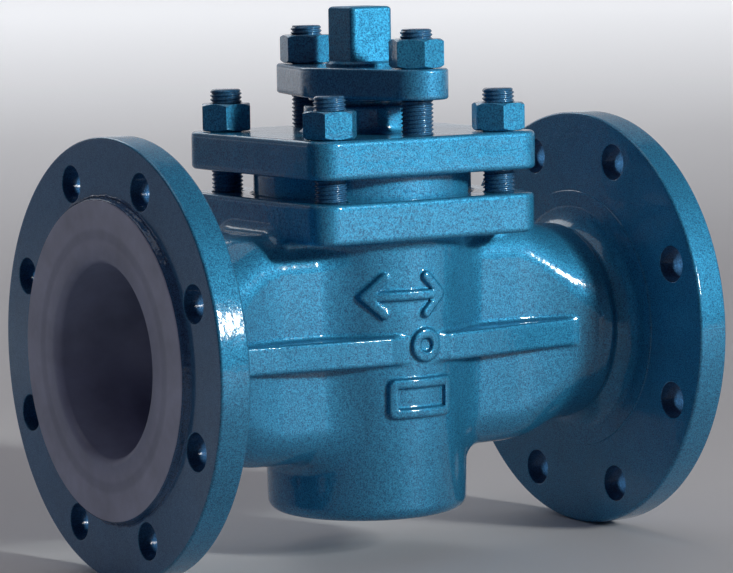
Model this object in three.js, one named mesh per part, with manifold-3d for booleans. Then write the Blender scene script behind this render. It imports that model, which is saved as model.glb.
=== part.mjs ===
// A lined plug valve for DN 100 PN 16 pipe: a flanged cast body with a plastic lining, a tapered plug
// with a square stem end, a bolted square cover and a bolted gland over four packing rings.
//
// Frame: millimetres, +X along the flow, +Z up along the stem. The origin is where the two axes cross.
// Rest pose: the valve is open, so the port of the plug lies along the flow.
// Every piece keeps a clearance of GAP to the piece that it rests on.

import * as THREE from 'three';
import { mergeVertices } from 'three/addons/utils/BufferGeometryUtils.js';
import Module from 'manifold-3d';

const GAP = 0.3;

// Pipe flanges
const FACE_TO_FACE = 300;
const FLANGE_RADIUS = 107.5;
const FLANGE_BACK_X = 130;
const FLANGE_FACE_X = 146;
const RAISED_FACE_X = 147;
const RAISED_FACE_RADIUS = 78;
const PIPE_BOLT_COUNT = 8;
const PIPE_BOLT_CIRCLE_RADIUS = 90;
const PIPE_BOLT_HOLE_RADIUS = 9;

// Body casting
const BARREL_BOTTOM_Z = -86;
const BARREL_FOOT_RADIUS = 50;
const BARREL_HEAD_RADIUS = 53;
const BARREL_HEAD_Z = 44;
const NECK_HALF_WIDTH = 35.5;
const NECK_HALF_HEIGHT = 57;
const NECK_END_X = 118;
const NECK_END_RADIUS = 50.6;
const NECK_FLARE = 1.3;
const TOP_FLANGE_SIDE = 130;
const TOP_FLANGE_CORNER = 12;
const TOP_FLANGE_LOW_Z = 53.8;
const TOP_FLANGE_HIGH_Z = 73.6;
const RECESS_RADIUS = 55.5;
const RECESS_FLOOR_Z = 57.7;
const RIB_LOW_Z = -8;
const RIB_HIGH_Z = 6;
const RIB_OUTLINE = [[8, 50], [14, 53.4], [50, 49.8], [75, 45], [91, 39]];

// Flow way and lining
const LINING_WALL = 3.3;
const BORE_RADIUS = 47;
const BORE_LIP = 4;
const BORE_NECK_RADIUS = 41.5;
const PORT_HALF_WIDTH = 21.5;
const PORT_HALF_HEIGHT = 43.5;
const PORT_CORNER = 12;
const SEAT_CLEARANCE = 0.4;

// Plug: the radii are those of its lined outside, which tapers downwards
const PLUG_FOOT_Z = -73;
const PLUG_HEAD_Z = 61.2;
const PLUG_MIDDLE_RADIUS = 39.3;
const PLUG_TAPER = 0.025;
const PLUG_LINING_WALL = 3.2;
const STEM_RADIUS = 17;
const STEM_TOP_Z = 166;
const SQUARE_SIDE = 24;
const SQUARE_FOOT_Z = 139;
const PORT_REACH = 60;

// Cover
const COVER_SIDE = 131;
const COVER_LOW_Z = 85.2;
const COVER_HIGH_Z = 104;
const SPIGOT_RADIUS = 54.5;
const SPIGOT_INNER_RADIUS = 41.3;
const STUFFING_BOX_RADIUS = 28.5;
const STUFFING_BOX_TOP_Z = 117.5;
const STUFFING_BOX_FLOOR_Z = 90;
const PACKING_RADIUS = 23;

// Top seals, from the plug head up to the cover spigot
const TOP_SEAL_LOW_Z = 61.8;
const TOP_SEAL_HIGH_Z = 63.3;
const DIAPHRAGM_HIGH_Z = 64.4;
const THRUST_RING_HIGH_Z = 72.7;
const SPIGOT_LOW_Z = 64.7;
const SPIGOT_CEILING_Z = 73;
const SEAL_RADIUS = 55.2;
const SEAL_LIP_WALL = 2.6;
const SEAL_LIP_TOP_Z = 69;
const STEM_SEAL_RADIUS = STEM_RADIUS + GAP;
const THRUST_RING_INNER_RADIUS = 20.8;

// Packing and gland
const PACKING_COUNT = 4;
const PACKING_HEIGHT = 5;
const SPACER_HEIGHT = 3;
const GLAND_LOW_Z = 121.4;
const GLAND_HIGH_Z = 136.5;
const GLAND_MIDDLE_RADIUS = 31;
const GLAND_END_RADIUS = 15.5;
const BUSH_COLLAR_RADIUS = 26;
const BUSH_COLLAR_LOW_Z = 119.8;

// M16 studs and their nuts
const STUD_RADIUS = 8;
const STUD_HOLE_RADIUS = 8.4;
const NUT_ACROSS_FLATS = 24;
const COVER_NUT_HEIGHT = 13.7;
const GLAND_NUT_HEIGHT = 14.1;
const COVER_STUD_OFFSET = 49.2;
const COVER_STUD_LOW_Z = 54.4;
const COVER_STUD_HIGH_Z = 125.1;
const GLAND_STUD_OFFSET = 51;
const GLAND_STUD_LOW_Z = 86;
const GLAND_STUD_HIGH_Z = 155.7;

const BLUE_PAINT = { color: 0x2c7fa8, roughness: 0.38, metalness: 0.35 };
const DARK_BLUE_PAINT = { color: 0x27688c, roughness: 0.36, metalness: 0.35 };
const GREY_PLASTIC = { color: 0x6f7078, roughness: 0.45, metalness: 0.0 };
const WHITE_PLASTIC = { color: 0xd9dad6, roughness: 0.5, metalness: 0.0 };
const BARE_STEEL = { color: 0x9ba0a5, roughness: 0.4, metalness: 0.9 };

// Sides of the round pieces
const WIDE_ROUND = 40;
const SMALL_ROUND = 24;
const HOLE_ROUND = 12;

// How far a cutting tool runs past the face that it opens
const PAST = 5;

const wasm = await Module();
wasm.setup();

// ---------------------------------------------------------------- solids

function signedVolume(geometry) {
  const position = geometry.attributes.position;
  const corner = [new THREE.Vector3(), new THREE.Vector3(), new THREE.Vector3()];
  let volume = 0;
  for (let i = 0; i < geometry.index.count; i += 3) {
    corner.forEach((point, k) => point.fromBufferAttribute(position, geometry.index.getX(i + k)));
    volume += corner[0].dot(corner[1].clone().cross(corner[2])) / 6;
  }
  return volume;
}

// One closed three.js geometry as a solid for the boolean steps.
function toSolid(geometry) {
  const bare = geometry.clone();
  bare.deleteAttribute('normal');
  bare.deleteAttribute('uv');
  const merged = mergeVertices(bare, 1e-4);
  const flip = signedVolume(merged) < 0;
  const triangles = [];
  for (let i = 0; i < merged.index.count; i += 3) {
    const [a, b, c] = [0, 1, 2].map((k) => merged.index.getX(i + k));
    if (a === b || b === c || c === a) continue;
    triangles.push(a, flip ? c : b, flip ? b : c);
  }
  return new wasm.Manifold(new wasm.Mesh({
    numProp: 3,
    vertProperties: new Float32Array(merged.attributes.position.array),
    triVerts: new Uint32Array(triangles),
  }));
}

function toGeometry(solid) {
  const mesh = solid.getMesh();
  const geometry = new THREE.BufferGeometry();
  geometry.setAttribute('position', new THREE.BufferAttribute(mesh.vertProperties, 3));
  geometry.setIndex(new THREE.BufferAttribute(mesh.triVerts, 1));
  geometry.computeVertexNormals();
  return geometry;
}

function joined(solids) {
  return solids.reduce((whole, solid) => whole.add(solid));
}

function cut(solid, tools) {
  return tools.reduce((rest, tool) => rest.subtract(tool), solid);
}

// A solid of revolution about Z. The profile lists [radius, z] pairs and starts and ends on the axis
// or comes back to its first pair.
function turned(profile, segments = WIDE_ROUND) {
  const points = profile.map(([radius, z]) => new THREE.Vector2(radius, z));
  const geometry = new THREE.LatheGeometry(points, segments);
  geometry.rotateX(Math.PI / 2);
  return toSolid(geometry);
}

// The same about X: the profile lists [radius, x] pairs.
function turnedAboutX(profile, segments = WIDE_ROUND) {
  const points = profile.map(([radius, x]) => new THREE.Vector2(radius, x));
  const geometry = new THREE.LatheGeometry(points, segments);
  geometry.rotateZ(-Math.PI / 2);
  return toSolid(geometry);
}

function disc(radius, lowZ, highZ, segments = WIDE_ROUND) {
  return turned([[0, lowZ], [radius, lowZ], [radius, highZ], [0, highZ]], segments);
}

function ring(innerRadius, outerRadius, lowZ, highZ, segments = SMALL_ROUND) {
  return turned([
    [innerRadius, lowZ],
    [outerRadius, lowZ],
    [outerRadius, highZ],
    [innerRadius, highZ],
    [innerRadius, lowZ],
  ], segments);
}

function upright(radius, x, y, lowZ, highZ) {
  const geometry = new THREE.CylinderGeometry(radius, radius, highZ - lowZ, HOLE_ROUND);
  geometry.rotateX(Math.PI / 2);
  geometry.translate(x, y, (lowZ + highZ) / 2);
  return toSolid(geometry);
}

// A flat outline in X and Y, pulled up from lowZ to highZ.
function raised(shape, lowZ, highZ) {
  const geometry = new THREE.ExtrudeGeometry(shape, {
    depth: highZ - lowZ,
    bevelEnabled: false,
    curveSegments: 7,
  });
  geometry.translate(0, 0, lowZ);
  return toSolid(geometry);
}

function roundedSquare(side, corner) {
  const half = side / 2;
  const inner = half - corner;
  const shape = new THREE.Shape();
  shape.absarc(inner, inner, corner, 0, Math.PI / 2);
  shape.absarc(-inner, inner, corner, Math.PI / 2, Math.PI);
  shape.absarc(-inner, -inner, corner, Math.PI, 1.5 * Math.PI);
  shape.absarc(inner, -inner, corner, 1.5 * Math.PI, 2 * Math.PI);
  return shape;
}

// A closed ring of points in the Y-Z plane at x: a rectangle with rounded corners, which is a circle
// where its corner radius reaches both half sides.
const CORNER_STEPS = 4;
const LEAST_FLAT = 0.2;
function section(x, halfWidth, halfHeight, corner) {
  const radius = Math.min(corner, halfWidth - LEAST_FLAT, halfHeight - LEAST_FLAT);
  const points = [];
  for (let quarter = 0; quarter < 4; quarter += 1) {
    const signY = quarter === 0 || quarter === 3 ? 1 : -1;
    const signZ = quarter < 2 ? 1 : -1;
    for (let step = 0; step <= CORNER_STEPS; step += 1) {
      const angle = (quarter + step / CORNER_STEPS) * Math.PI / 2;
      points.push(new THREE.Vector3(
        x,
        signY * (halfWidth - radius) + radius * Math.cos(angle),
        signZ * (halfHeight - radius) + radius * Math.sin(angle),
      ));
    }
  }
  return points;
}

// A skin through a row of sections, closed by a flat cap at each end.
function lofted(sections) {
  const count = sections[0].length;
  const points = sections.flat();
  const triangles = [];
  for (let row = 0; row + 1 < sections.length; row += 1) {
    for (let i = 0; i < count; i += 1) {
      const next = (i + 1) % count;
      const [a, b] = [row * count + i, row * count + next];
      triangles.push(a, b, b + count, a, b + count, a + count);
    }
  }
  for (const [row, order] of [[0, 1], [sections.length - 1, -1]]) {
    const middle = points.length;
    const centre = new THREE.Vector3(sections[row][0].x, 0, 0);
    points.push(centre);
    for (let i = 0; i < count; i += 1) {
      const [a, b] = [row * count + i, row * count + ((i + 1) % count)];
      triangles.push(middle, order > 0 ? b : a, order > 0 ? a : b);
    }
  }
  const geometry = new THREE.BufferGeometry().setFromPoints(points);
  geometry.setIndex(triangles);
  return toSolid(geometry);
}

// A list of [x, halfWidth, halfHeight, corner] for x > 0, as sections over both sides of x = 0.
function bothWays(list) {
  const right = list.map(([x, w, h, c]) => section(x, w, h, c));
  const left = list.map(([x, w, h, c]) => section(-x, w, h, c)).reverse();
  return [...left, ...right];
}

// ---------------------------------------------------------------- shared shapes

// The flow way, grown outwards by extra: a round bore at each flange that narrows to a tall port.
function flowWay(extra, endX) {
  const list = [
    [42, PORT_HALF_WIDTH, PORT_HALF_HEIGHT, PORT_CORNER],
    [80, PORT_HALF_WIDTH + 3.5, PORT_HALF_HEIGHT, PORT_CORNER + 6],
    [102, 34.5, 42.6, 30],
    [NECK_END_X, BORE_NECK_RADIUS, BORE_NECK_RADIUS, BORE_NECK_RADIUS],
    [FLANGE_BACK_X, BORE_NECK_RADIUS + 2.6, BORE_NECK_RADIUS + 2.6, BORE_NECK_RADIUS + 2.6],
    [FLANGE_FACE_X, BORE_RADIUS, BORE_RADIUS, BORE_RADIUS],
    [endX, BORE_RADIUS, BORE_RADIUS, BORE_RADIUS],
  ];
  const grown = list.map(([x, w, h, c]) => [x, w + extra, h + extra, c + extra]);
  return lofted(bothWays(grown));
}

function plugRadius(z) {
  return PLUG_MIDDLE_RADIUS + PLUG_TAPER * z;
}

// The tapered plug, grown outwards by extra.
function taper(extra, lowZ, highZ) {
  const chamfer = 2;
  return turned([
    [0, lowZ],
    [plugRadius(lowZ) + extra - chamfer, lowZ],
    [plugRadius(lowZ) + extra, lowZ + chamfer],
    [plugRadius(highZ) + extra, highZ],
    [0, highZ],
  ]);
}

// The straight port through the plug, grown outwards by extra.
function plugPort(extra) {
  const size = [PORT_HALF_WIDTH + extra, PORT_HALF_HEIGHT + extra, PORT_CORNER + extra];
  return lofted([section(-PORT_REACH, ...size), section(PORT_REACH, ...size)]);
}

// The seat that the lining makes around the plug, grown outwards by extra.
function seat(extra) {
  const grow = SEAT_CLEARANCE + extra;
  return taper(grow, PLUG_FOOT_Z - grow, TOP_SEAL_LOW_Z + 20);
}

// ---------------------------------------------------------------- body casting

function pipeFlange() {
  const flare = [];
  const FLARE_STEPS = 3;
  const flareRadius = FLANGE_BACK_X - NECK_END_X;
  for (let step = 0; step <= FLARE_STEPS; step += 1) {
    const angle = step / FLARE_STEPS * Math.PI / 2;
    flare.push([
      NECK_END_RADIUS + flareRadius * (1 - Math.cos(angle)) * NECK_FLARE,
      NECK_END_X + flareRadius * Math.sin(angle),
    ]);
  }
  return turnedAboutX([
    [0, NECK_END_X - 2],
    [NECK_END_RADIUS - 1, NECK_END_X - 2],
    ...flare,
    [FLANGE_RADIUS, FLANGE_BACK_X],
    [FLANGE_RADIUS, FLANGE_FACE_X],
    [RAISED_FACE_RADIUS, FLANGE_FACE_X],
    [RAISED_FACE_RADIUS, RAISED_FACE_X],
    [0, RAISED_FACE_X],
  ]);
}

function pipeBoltHoles() {
  const holes = [];
  const length = FLANGE_FACE_X - FLANGE_BACK_X + 2 * PAST;
  for (const side of [-1, 1]) {
    for (let i = 0; i < PIPE_BOLT_COUNT; i += 1) {
      const angle = (i + 0.5) / PIPE_BOLT_COUNT * 2 * Math.PI;
      const hole = new THREE.CylinderGeometry(
        PIPE_BOLT_HOLE_RADIUS, PIPE_BOLT_HOLE_RADIUS, length, HOLE_ROUND,
      );
      hole.rotateZ(Math.PI / 2);
      hole.translate(
        side * (FLANGE_FACE_X + FLANGE_BACK_X) / 2,
        PIPE_BOLT_CIRCLE_RADIUS * Math.cos(angle),
        PIPE_BOLT_CIRCLE_RADIUS * Math.sin(angle),
      );
      holes.push(toSolid(hole));
    }
  }
  return holes;
}

function necks() {
  return lofted(bothWays([
    [30, NECK_HALF_WIDTH, NECK_HALF_HEIGHT, 14],
    [70, NECK_HALF_WIDTH, NECK_HALF_HEIGHT - 1, 16],
    [82, NECK_HALF_WIDTH + 1.5, NECK_HALF_HEIGHT - 2.5, 20],
    [94, NECK_HALF_WIDTH + 5, NECK_HALF_HEIGHT - 4.5, 28],
    [106, NECK_HALF_WIDTH + 10.5, NECK_HALF_HEIGHT - 6, 39],
    [NECK_END_X, NECK_END_RADIUS, NECK_END_RADIUS, NECK_END_RADIUS],
  ]));
}

function barrel() {
  return turned([
    [0, BARREL_BOTTOM_Z],
    [BARREL_FOOT_RADIUS - 6, BARREL_BOTTOM_Z],
    [BARREL_FOOT_RADIUS - 2.2, BARREL_BOTTOM_Z + 1.4],
    [BARREL_FOOT_RADIUS - 0.3, BARREL_BOTTOM_Z + 5],
    [BARREL_HEAD_RADIUS, BARREL_HEAD_Z],
    [BARREL_HEAD_RADIUS + 1.6, BARREL_HEAD_Z + 6],
    [BARREL_HEAD_RADIUS + 6, TOP_FLANGE_LOW_Z + 1],
    [0, TOP_FLANGE_LOW_Z + 1],
  ]);
}

// Four low ribs at mid height run from the front and the back of the barrel out along the necks.
function ribs() {
  const shape = new THREE.Shape();
  shape.moveTo(RIB_OUTLINE[0][0], 0);
  for (const [x, y] of RIB_OUTLINE) shape.lineTo(x, y);
  shape.lineTo(RIB_OUTLINE.at(-1)[0], 0);
  shape.closePath();
  const rib = raised(shape, RIB_LOW_Z, RIB_HIGH_Z);
  const pair = rib.add(rib.mirror([1, 0, 0]));
  return pair.add(pair.mirror([0, 1, 0]));
}

function coverStudPlaces() {
  const far = COVER_STUD_OFFSET;
  return [[-far, -far], [far, -far], [far, far], [-far, far]];
}

function bodyCasting() {
  const flange = pipeFlange();
  const otherFlange = flange.mirror([1, 0, 0]);
  const outside = joined([
    barrel(),
    necks(),
    ribs(),
    flange,
    otherFlange,
    raised(roundedSquare(TOP_FLANGE_SIDE, TOP_FLANGE_CORNER), TOP_FLANGE_LOW_Z, TOP_FLANGE_HIGH_Z),
  ]);
  const wall = LINING_WALL + GAP;
  const studHoles = coverStudPlaces().map(
    ([x, y]) => upright(STUD_HOLE_RADIUS, x, y, TOP_FLANGE_LOW_Z - PAST, TOP_FLANGE_HIGH_Z + PAST),
  );
  return cut(outside, [
    flowWay(wall, FACE_TO_FACE / 2 + PAST),
    seat(wall),
    disc(RECESS_RADIUS, RECESS_FLOOR_Z, TOP_FLANGE_HIGH_Z + PAST),
    ...pipeBoltHoles(),
    ...studHoles,
  ]);
}

// ---------------------------------------------------------------- lining

function faceLining() {
  return turnedAboutX([
    [0, RAISED_FACE_X + GAP],
    [RAISED_FACE_RADIUS - 0.4, RAISED_FACE_X + GAP],
    [RAISED_FACE_RADIUS - 0.4, FACE_TO_FACE / 2],
    [0, FACE_TO_FACE / 2],
  ]);
}

// The rounded mouth of the bore in the face lining.
function mouth() {
  const lipX = FACE_TO_FACE / 2 - BORE_LIP;
  const profile = [
    [0, lipX - 2],
    [BORE_RADIUS - 0.5, lipX - 2],
  ];
  const MOUTH_STEPS = 3;
  for (let step = 0; step <= MOUTH_STEPS; step += 1) {
    const angle = step / MOUTH_STEPS * Math.PI / 2;
    profile.push([
      BORE_RADIUS + BORE_LIP * (1 - Math.cos(angle)),
      lipX + BORE_LIP * Math.sin(angle),
    ]);
  }
  profile.push([BORE_RADIUS + BORE_LIP, lipX + BORE_LIP + PAST], [0, lipX + BORE_LIP + PAST]);
  return turnedAboutX(profile);
}

function bodyLining() {
  const face = faceLining();
  const opening = mouth();
  const outside = joined([
    flowWay(LINING_WALL, RAISED_FACE_X + GAP + 1),
    seat(LINING_WALL).intersect(disc(200, -200, TOP_SEAL_LOW_Z - GAP)),
    disc(SEAL_RADIUS, RECESS_FLOOR_Z + GAP, TOP_SEAL_LOW_Z - GAP),
    face,
    face.mirror([1, 0, 0]),
  ]);
  return cut(outside, [
    flowWay(0, FACE_TO_FACE / 2 + PAST),
    seat(0),
    opening,
    opening.mirror([1, 0, 0]),
  ]);
}

// ---------------------------------------------------------------- plug

function plugLining() {
  const core = cut(
    taper(GAP - PLUG_LINING_WALL, PLUG_FOOT_Z + PLUG_LINING_WALL, PLUG_HEAD_Z - PLUG_LINING_WALL),
    [plugPort(PLUG_LINING_WALL)],
  );
  return cut(taper(0, PLUG_FOOT_Z, PLUG_HEAD_Z), [
    plugPort(0),
    core,
    disc(STEM_RADIUS + GAP, PLUG_HEAD_Z - PLUG_LINING_WALL - PAST, PLUG_HEAD_Z + PAST),
  ]);
}

// Four blocks that cut the stem's end square.
function stemSquare() {
  const reach = STEM_RADIUS + PAST;
  const topZ = STEM_TOP_Z + PAST;
  const side = new THREE.BoxGeometry(reach, 2 * reach, topZ - SQUARE_FOOT_Z);
  side.translate(SQUARE_SIDE / 2 + reach / 2, 0, (topZ + SQUARE_FOOT_Z) / 2);
  return [0, 1, 2, 3].map((quarter) => toSolid(side.clone().rotateZ(quarter * Math.PI / 2)));
}

function plugCore() {
  const wall = GAP + PLUG_LINING_WALL;
  const core = cut(
    taper(-wall, PLUG_FOOT_Z + wall, PLUG_HEAD_Z - wall),
    [plugPort(wall)],
  );
  const stem = turned([
    [0, PLUG_HEAD_Z - wall - 5],
    [STEM_RADIUS, PLUG_HEAD_Z - wall - 5],
    [STEM_RADIUS, STEM_TOP_Z - 1],
    [STEM_RADIUS - 1, STEM_TOP_Z],
    [0, STEM_TOP_Z],
  ], SMALL_ROUND);
  return cut(core.add(stem), stemSquare());
}

// ---------------------------------------------------------------- cover, seals and packing

function cover() {
  const outside = joined([
    raised(roundedSquare(COVER_SIDE, TOP_FLANGE_CORNER), COVER_LOW_Z, COVER_HIGH_Z),
    disc(SPIGOT_RADIUS, SPIGOT_LOW_Z, COVER_LOW_Z + 1),
    turned([
      [0, COVER_HIGH_Z - 1],
      [STUFFING_BOX_RADIUS + 3, COVER_HIGH_Z - 1],
      [STUFFING_BOX_RADIUS + 3, COVER_HIGH_Z],
      [STUFFING_BOX_RADIUS + 0.9, COVER_HIGH_Z + 1],
      [STUFFING_BOX_RADIUS, COVER_HIGH_Z + 3],
      [STUFFING_BOX_RADIUS, STUFFING_BOX_TOP_Z - 1],
      [STUFFING_BOX_RADIUS - 1, STUFFING_BOX_TOP_Z],
      [0, STUFFING_BOX_TOP_Z],
    ]),
  ]);
  const studHoles = coverStudPlaces().map(
    ([x, y]) => upright(STUD_HOLE_RADIUS, x, y, COVER_LOW_Z - PAST, COVER_HIGH_Z + PAST),
  );
  const glandStudHoles = [-1, 1].map((side) => upright(
    STUD_HOLE_RADIUS, 0, side * GLAND_STUD_OFFSET, GLAND_STUD_LOW_Z - GAP, COVER_HIGH_Z + PAST,
  ));
  return cut(outside, [
    disc(SPIGOT_INNER_RADIUS, SPIGOT_LOW_Z - PAST, SPIGOT_CEILING_Z),
    disc(STEM_RADIUS + 2 * GAP, SPIGOT_LOW_Z - PAST, STUFFING_BOX_TOP_Z + PAST, SMALL_ROUND),
    disc(PACKING_RADIUS + GAP, STUFFING_BOX_FLOOR_Z, STUFFING_BOX_TOP_Z + PAST, SMALL_ROUND),
    ...studHoles,
    ...glandStudHoles,
  ]);
}

// The seal lies on the plug head and the body lining, and its lip hugs the stem.
function topSeal() {
  return turned([
    [STEM_SEAL_RADIUS, TOP_SEAL_LOW_Z],
    [SEAL_RADIUS, TOP_SEAL_LOW_Z],
    [SEAL_RADIUS, TOP_SEAL_HIGH_Z],
    [STEM_SEAL_RADIUS + SEAL_LIP_WALL, TOP_SEAL_HIGH_Z],
    [STEM_SEAL_RADIUS + SEAL_LIP_WALL / 2, SEAL_LIP_TOP_Z],
    [STEM_SEAL_RADIUS, SEAL_LIP_TOP_Z],
    [STEM_SEAL_RADIUS, TOP_SEAL_LOW_Z],
  ], SMALL_ROUND);
}

function glandBush() {
  return turned([
    [STEM_SEAL_RADIUS, packingTop() + GAP],
    [PACKING_RADIUS, packingTop() + GAP],
    [PACKING_RADIUS, BUSH_COLLAR_LOW_Z],
    [BUSH_COLLAR_RADIUS, BUSH_COLLAR_LOW_Z],
    [BUSH_COLLAR_RADIUS, GLAND_LOW_Z - GAP],
    [STEM_SEAL_RADIUS, GLAND_LOW_Z - GAP],
    [STEM_SEAL_RADIUS, packingTop() + GAP],
  ], SMALL_ROUND);
}

function packingLow(index) {
  const firstZ = STUFFING_BOX_FLOOR_Z + GAP + SPACER_HEIGHT + GAP;
  return firstZ + index * (PACKING_HEIGHT + GAP);
}

function packingTop() {
  return packingLow(PACKING_COUNT - 1) + PACKING_HEIGHT;
}

// An oval plate: a wide round middle and two small round ends, joined by tangent lines.
function glandFlange() {
  const lean = Math.asin((GLAND_MIDDLE_RADIUS - GLAND_END_RADIUS) / GLAND_STUD_OFFSET);
  const shape = new THREE.Shape();
  shape.absarc(0, GLAND_STUD_OFFSET, GLAND_END_RADIUS, lean, Math.PI - lean);
  shape.absarc(0, 0, GLAND_MIDDLE_RADIUS, Math.PI - lean, Math.PI + lean);
  shape.absarc(0, -GLAND_STUD_OFFSET, GLAND_END_RADIUS, Math.PI + lean, 2 * Math.PI - lean);
  shape.absarc(0, 0, GLAND_MIDDLE_RADIUS, -lean, lean);
  shape.closePath();
  const holes = [-1, 1].map((side) => upright(
    STUD_HOLE_RADIUS, 0, side * GLAND_STUD_OFFSET, GLAND_LOW_Z - PAST, GLAND_HIGH_Z + PAST,
  ));
  return cut(raised(shape, GLAND_LOW_Z, GLAND_HIGH_Z), [
    disc(STEM_RADIUS + 2 * GAP, GLAND_LOW_Z - PAST, GLAND_HIGH_Z + PAST, SMALL_ROUND),
    ...holes,
  ]);
}

// ---------------------------------------------------------------- fasteners

function stud(lowZ, highZ) {
  const chamfer = 1.2;
  return turned([
    [0, lowZ],
    [STUD_RADIUS - chamfer, lowZ],
    [STUD_RADIUS, lowZ + chamfer],
    [STUD_RADIUS, highZ - chamfer],
    [STUD_RADIUS - chamfer, highZ],
    [0, highZ],
  ], HOLE_ROUND);
}

function nut(height, turnDegrees) {
  const cornerRadius = NUT_ACROSS_FLATS / Math.sqrt(3);
  const hexagon = new THREE.CylinderGeometry(cornerRadius, cornerRadius, height, 6);
  hexagon.rotateX(Math.PI / 2);
  hexagon.rotateZ(THREE.MathUtils.degToRad(turnDegrees) - Math.PI / 2);
  hexagon.translate(0, 0, height / 2);
  const chamfer = 1.6;
  const dome = turned([
    [0, 0],
    [cornerRadius - chamfer, 0],
    [cornerRadius, chamfer * 0.55],
    [cornerRadius, height - chamfer * 0.55],
    [cornerRadius - chamfer, height],
    [0, height],
  ], SMALL_ROUND);
  const thread = disc(STUD_RADIUS + GAP, -PAST, height + PAST, HOLE_ROUND);
  return toSolid(hexagon).intersect(dome).subtract(thread);
}

// ---------------------------------------------------------------- assembly

const valve = new THREE.Group();

function place(name, solid, look, x = 0, y = 0, z = 0) {
  const mesh = new THREE.Mesh(toGeometry(solid), new THREE.MeshStandardMaterial(look));
  mesh.name = name;
  mesh.position.set(x, y, z);
  valve.add(mesh);
}

place('body_casting', bodyCasting(), BLUE_PAINT);
place('body_lining', bodyLining(), GREY_PLASTIC);
place('plug_lining', plugLining(), WHITE_PLASTIC);
place('plug_core', plugCore(), BARE_STEEL);
place('top_seal', topSeal(), WHITE_PLASTIC);
place('metal_diaphragm', ring(
  THRUST_RING_INNER_RADIUS, SEAL_RADIUS, TOP_SEAL_HIGH_Z + GAP, DIAPHRAGM_HIGH_Z,
), BARE_STEEL);
place('thrust_ring', ring(
  THRUST_RING_INNER_RADIUS, SPIGOT_INNER_RADIUS - GAP, SPIGOT_LOW_Z, THRUST_RING_HIGH_Z,
), BARE_STEEL);
place('cover', cover(), BLUE_PAINT);
const spacerZ = STUFFING_BOX_FLOOR_Z + GAP;
place('packing_spacer', ring(
  STEM_SEAL_RADIUS, PACKING_RADIUS, spacerZ, spacerZ + SPACER_HEIGHT,
), BARE_STEEL);
for (let i = 0; i < PACKING_COUNT; i += 1) {
  const lowZ = packingLow(i);
  place(`packing_ring_${i + 1}`, ring(
    STEM_SEAL_RADIUS, PACKING_RADIUS, lowZ, lowZ + PACKING_HEIGHT,
  ), WHITE_PLASTIC);
}
place('gland_bush', glandBush(), BARE_STEEL);
place('gland_flange', glandFlange(), DARK_BLUE_PAINT);

// Each nut stopped at its own angle, in degrees.
const COVER_CORNER_NAMES = ['left_front', 'right_front', 'right_back', 'left_back'];
const COVER_NUT_TURNS = [50.2, 6.8, 38, 17.7];
coverStudPlaces().forEach(([x, y], i) => {
  const corner = COVER_CORNER_NAMES[i];
  place(`cover_stud_${corner}`, stud(COVER_STUD_LOW_Z, COVER_STUD_HIGH_Z), BLUE_PAINT, x, y);
  place(`cover_nut_${corner}`, nut(COVER_NUT_HEIGHT, COVER_NUT_TURNS[i]), BLUE_PAINT,
    x, y, COVER_HIGH_Z + GAP);
});

const GLAND_SIDES = [['front', -1, 14], ['back', 1, 16]];
for (const [name, side, turn] of GLAND_SIDES) {
  const y = side * GLAND_STUD_OFFSET;
  place(`gland_stud_${name}`, stud(GLAND_STUD_LOW_Z, GLAND_STUD_HIGH_Z), BLUE_PAINT, 0, y);
  place(`gland_nut_${name}`, nut(GLAND_NUT_HEIGHT, turn), BLUE_PAINT, 0, y, GLAND_HIGH_Z + GAP);
}

export default valve;
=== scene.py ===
"""The looks of a lined plug valve: smooth castings with fillets and a raised flow arrow, threaded studs,
chamfered nuts, a moulded grey lining, hammered blue paint, and the studio around them.

Shapes are worked out in millimetres in the frame's own axes: X along the flow, Z up along the stem.
"""
import math

import bmesh
import bpy
import numpy as np
from mathutils import Matrix, Vector


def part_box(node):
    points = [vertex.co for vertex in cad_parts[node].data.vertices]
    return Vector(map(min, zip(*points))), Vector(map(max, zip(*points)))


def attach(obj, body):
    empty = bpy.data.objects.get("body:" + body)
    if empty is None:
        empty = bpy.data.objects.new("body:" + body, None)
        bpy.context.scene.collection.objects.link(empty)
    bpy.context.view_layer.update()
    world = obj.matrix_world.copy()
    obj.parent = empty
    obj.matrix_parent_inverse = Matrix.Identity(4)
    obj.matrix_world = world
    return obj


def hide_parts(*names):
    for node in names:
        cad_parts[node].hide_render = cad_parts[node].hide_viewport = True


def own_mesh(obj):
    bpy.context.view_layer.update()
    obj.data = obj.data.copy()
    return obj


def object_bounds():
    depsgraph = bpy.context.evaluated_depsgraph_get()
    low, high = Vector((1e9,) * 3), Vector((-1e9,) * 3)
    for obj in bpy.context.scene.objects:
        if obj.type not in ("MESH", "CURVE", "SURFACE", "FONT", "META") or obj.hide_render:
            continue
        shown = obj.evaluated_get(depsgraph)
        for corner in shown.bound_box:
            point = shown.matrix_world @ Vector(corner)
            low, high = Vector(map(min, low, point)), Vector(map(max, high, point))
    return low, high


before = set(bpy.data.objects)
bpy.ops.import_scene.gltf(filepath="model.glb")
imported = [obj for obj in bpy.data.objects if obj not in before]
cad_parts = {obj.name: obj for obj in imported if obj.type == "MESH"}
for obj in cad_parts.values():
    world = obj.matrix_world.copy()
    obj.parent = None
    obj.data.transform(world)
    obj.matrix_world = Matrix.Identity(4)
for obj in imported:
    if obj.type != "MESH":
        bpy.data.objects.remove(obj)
CAD_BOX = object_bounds()
MM = 0.001


def node_box(name):
    """The lowest and highest corner of a CAD node, in millimetres."""
    low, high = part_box(name)
    return np.array(low) / MM, np.array(high) / MM


# ---- sizes, in millimetres

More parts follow.
